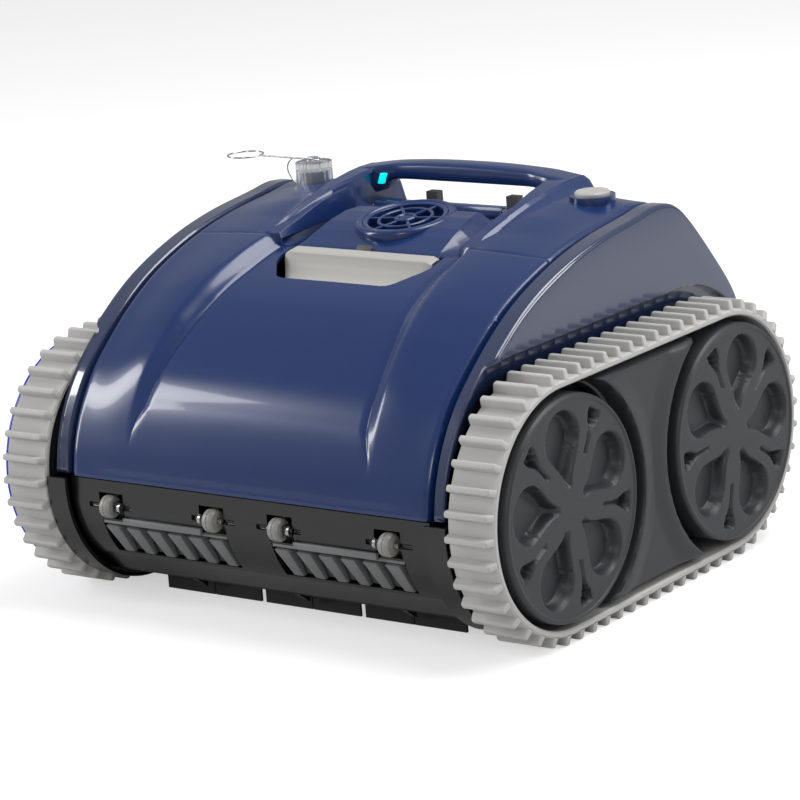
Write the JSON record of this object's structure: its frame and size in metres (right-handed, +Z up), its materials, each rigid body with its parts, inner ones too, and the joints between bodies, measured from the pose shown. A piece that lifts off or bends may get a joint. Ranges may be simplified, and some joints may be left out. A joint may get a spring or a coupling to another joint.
{
  "type": "pool cleaner",
  "caption": "Tracked robotic pool cleaner with a domed hull, carry handle, hinged filter lid, top outlet grille, front guide rollers and louvred vents.",
  "frame": {"origin": "on the ground, midway between the wheels and between the tracks", "axes": "+X across the tracks to the power button side, nose towards -Y, +Z up"},
  "size_m": [0.448, 0.409, 0.2902],
  "materials": {
    "hull_blue": "polished moulding, navy blue",
    "panel_blue": "polished moulding, reflective grey blue",
    "black_plastic": "satin black moulding",
    "wheel_grey": "satin dark grey moulding",
    "belt_rubber": "matt light grey rubber",
    "band_blue": "bright blue",
    "roller_grey": "satin light grey",
    "louvre_grey": "satin mid grey",
    "pull_grey": "satin warm light grey",
    "clip_grey": "satin dark grey",
    "clear_plastic": "clear polycarbonate",
    "steel": "stainless",
    "acetal": "natural acetal",
    "motor_metal": "zinc grey",
    "mesh_grey": "satin grey",
    "battery_wrap": "shrink wrap",
    "led": "lit cyan window",
    "rubber_black": "matt black rubber"
  },
  "bodies": {
    "hull": {"basket_seat": "black_plastic", "battery_pack": "battery_wrap", "belt_band_left": "band_blue", "button_collar": "hull_blue", "carry_handle": "hull_blue", "charge_port": "hull_blue", "chassis_tub": "black_plastic", "control_box": "black_plastic", "drive_motor_left": "motor_metal", "drive_motor_right": "motor_metal", "filter_basket": "mesh_grey", "flap_clamp": "black_plastic", "floor_screws": "steel", "front_bumper": "black_plastic", "front_shell": "hull_blue", "hinge_pins": "steel", "hull_gasket": "rubber_black", "intake_duct": "black_plastic", "keeper_wire": "steel", "led_window": "led", "pump_duct": "mesh_grey", "pump_motor": "motor_metal", "rear_bumper": "black_plastic", "rear_clips": "clip_grey", "rear_shell": "hull_blue", "roller_pins": "steel", "rubber_flap": "rubber_black", "side_frame_left": "black_plastic", "side_frame_right": "black_plastic", "side_panel_left": "panel_blue", "side_panel_right": "panel_blue", "track_belt_left": "belt_rubber", "track_belt_right": "belt_rubber", "track_cover_left": "wheel_grey", "track_cover_right": "wheel_grey", "vent_grille_left": "louvre_grey", "vent_grille_right": "louvre_grey", "wheel_axles": "steel"},
    "front_wheel_left": {"front_wheel_left": "wheel_grey"},
    "front_wheel_right": {"front_wheel_right": "wheel_grey"},
    "rear_wheel_left": {"rear_wheel_left": "wheel_grey", "drive_gear_left": "acetal"},
    "rear_wheel_right": {"rear_wheel_right": "wheel_grey", "drive_gear_right": "acetal"},
    "pinion_left": {"drive_pinion_left": "acetal"},
    "pinion_right": {"drive_pinion_right": "acetal"},
    "roller_1": {"front_roller_1": "roller_grey"},
    "roller_2": {"front_roller_2": "roller_grey"},
    "roller_3": {"front_roller_3": "roller_grey"},
    "roller_4": {"front_roller_4": "roller_grey"},
    "lid": {"lid": "hull_blue", "outlet_grille": "hull_blue", "latch_tab": "clip_grey", "pull_pins": "steel"},
    "pull_handle": {"pull_handle": "pull_grey"},
    "power_button": {"power_button": "pull_grey"},
    "port_cap": {"port_cap": "clear_plastic"},
    "impeller": {"impeller": "acetal"},
    "intake_door_left": {"intake_door_left": "black_plastic"},
    "intake_door_right": {"intake_door_right": "black_plastic"}
  },
  "joints": [
    {"name": "rear_wheel_left_spin", "type": "hinge", "parent": "hull", "child": "rear_wheel_left", "pos_m": [-0.2, 0.1075, 0.097], "axis": [1, 0, 0], "continuous": true},
    {"name": "front_wheel_left_spin", "type": "hinge", "parent": "hull", "child": "front_wheel_left", "pos_m": [-0.2, -0.1075, 0.097], "axis": [1, 0, 0], "continuous": true},
    {"name": "pinion_left_spin", "type": "hinge", "parent": "hull", "child": "pinion_left", "pos_m": [-0.165, 0.059, 0.125], "axis": [1, 0, 0], "continuous": true},
    {"name": "intake_door_left_hinge", "type": "hinge", "parent": "hull", "child": "intake_door_left", "pos_m": [-0.058, -0.016, 0.027], "axis": [1, 0, 0], "range_deg": [0, 60]},
    {"name": "rear_wheel_right_spin", "type": "hinge", "parent": "hull", "child": "rear_wheel_right", "pos_m": [0.2, 0.1075, 0.097], "axis": [1, 0, 0], "continuous": true},
    {"name": "front_wheel_right_spin", "type": "hinge", "parent": "hull", "child": "front_wheel_right", "pos_m": [0.2, -0.1075, 0.097], "axis": [1, 0, 0], "continuous": true},
    {"name": "pinion_right_spin", "type": "hinge", "parent": "hull", "child": "pinion_right", "pos_m": [0.165, 0.059, 0.125], "axis": [1, 0, 0], "continuous": true},
    {"name": "intake_door_right_hinge", "type": "hinge", "parent": "hull", "child": "intake_door_right", "pos_m": [0.058, -0.016, 0.027], "axis": [1, 0, 0], "range_deg": [0, 60]},
    {"name": "roller_1_spin", "type": "hinge", "parent": "hull", "child": "roller_1", "pos_m": [-0.1263, -0.1915, 0.084], "axis": [1, 0, 0], "continuous": true},
    {"name": "roller_2_spin", "type": "hinge", "parent": "hull", "child": "roller_2", "pos_m": [-0.0297, -0.1915, 0.084], "axis": [1, 0, 0], "continuous": true},
    {"name": "roller_3_spin", "type": "hinge", "parent": "hull", "child": "roller_3", "pos_m": [0.0297, -0.1915, 0.084], "axis": [1, 0, 0], "continuous": true},
    {"name": "roller_4_spin", "type": "hinge", "parent": "hull", "child": "roller_4", "pos_m": [0.1263, -0.1915, 0.084], "axis": [1, 0, 0], "continuous": true},
    {"name": "lid_hinge", "type": "hinge", "parent": "hull", "child": "lid", "pos_m": [0, 0.066, 0.257], "axis": [-1, 0, 0], "range_deg": [0, 82]},
    {"name": "pull_handle_rock", "type": "hinge", "parent": "lid", "child": "pull_handle", "pos_m": [0, -0.032, 0.2407], "axis": [-1, 0, 0], "range_deg": [0, 18]},
    {"name": "power_button_press", "type": "slide", "parent": "hull", "child": "power_button", "axis": [0, 0, -1], "range_m": [0, 0.0025], "stiffness_N_per_m": 600},
    {"name": "port_cap_turn", "type": "hinge", "parent": "hull", "child": "port_cap", "pos_m": [-0.1284, 0.0797, 0.275], "axis": [0, 0, 1], "range_deg": [0, 90]},
    {"name": "impeller_spin", "type": "hinge", "parent": "hull", "child": "impeller", "pos_m": [0, 0.022, 0.21], "axis": [0, 0, 1], "continuous": true}
  ],
  "couplings": [
    {"joint": "front_wheel_left_spin", "follows": "rear_wheel_left_spin", "ratio": 1},
    {"joint": "pinion_left_spin", "follows": "rear_wheel_left_spin", "ratio": -3},
    {"joint": "front_wheel_right_spin", "follows": "rear_wheel_right_spin", "ratio": 1},
    {"joint": "pinion_right_spin", "follows": "rear_wheel_right_spin", "ratio": -3}
  ]
}
